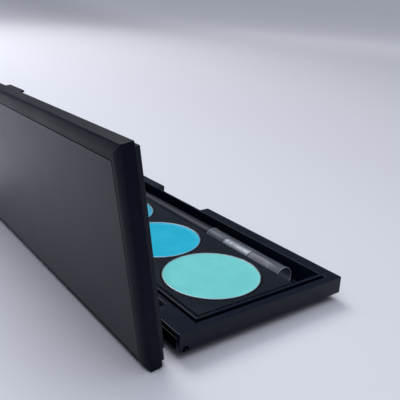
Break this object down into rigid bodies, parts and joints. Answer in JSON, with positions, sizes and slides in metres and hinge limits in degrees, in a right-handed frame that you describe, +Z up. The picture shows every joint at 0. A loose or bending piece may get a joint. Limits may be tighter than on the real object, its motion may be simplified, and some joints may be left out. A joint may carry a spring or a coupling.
{
  "type": "hinged colour palette",
  "caption": "Slim black hinged palette case of wet colour: round pans in a tray, a sleeved brush in a front trough and a mirrored lid on short pins.",
  "frame": {"origin": "centre of the base's flat bottom face", "axes": "+Z up, X along the length of the case with the brush tip at -X, +Y towards the hinge"},
  "size_m": [0.153, 0.0687, 0.0522],
  "materials": {
    "case_black": "satin moulded plastic",
    "panel_black": "fine matt",
    "tray_black": "fine matt",
    "pan_steel": "drawn tinplate",
    "pin_steel": "ground",
    "colour_mint": "smooth poured cake",
    "colour_cyan": "smooth poured cake",
    "colour_teal_blue": "smooth poured cake",
    "colour_blue": "smooth poured cake",
    "colour_violet_blue": "smooth poured cake",
    "handle_black": "gloss lacquer",
    "ferrule_metal": "satin, rolled with two rings",
    "bristle": "fine hair",
    "sleeve_clear": "translucent thin film",
    "mirror_glass": "silvered"
  },
  "bodies": {
    "base": {"base_shell": "case_black", "pan_tray": "tray_black", "pan_1": "pan_steel", "pan_2": "pan_steel", "pan_3": "pan_steel", "pan_4": "pan_steel", "pan_5": "pan_steel", "colour_1": "colour_mint", "colour_2": "colour_cyan", "colour_3": "colour_teal_blue", "colour_4": "colour_blue", "colour_5": "colour_violet_blue", "hinge_pin_left": "pin_steel", "hinge_pin_right": "pin_steel"},
    "lid": {"lid_shell": "case_black", "lid_panel": "panel_black", "mirror_frame": "case_black", "mirror": "mirror_glass"},
    "brush": {"brush_handle": "handle_black", "brush_ferrule": "ferrule_metal", "brush_tuft": "bristle"},
    "sleeve": {"brush_sleeve": "sleeve_clear"}
  },
  "joints": [
    {"name": "lid_hinge", "type": "hinge", "parent": "base", "child": "lid", "pos_m": [0, 0.025, 0.0027], "axis": [1, 0, 0], "range_deg": [0, 97.9]},
    {"name": "brush_slide", "type": "slide", "parent": "base", "child": "brush", "axis": [1, 0, 0], "range_m": [0, 0.0055]},
    {"name": "sleeve_slide", "type": "slide", "parent": "brush", "child": "sleeve", "axis": [-1, 0, 0], "range_m": [0, 0.0055]}
  ]
}
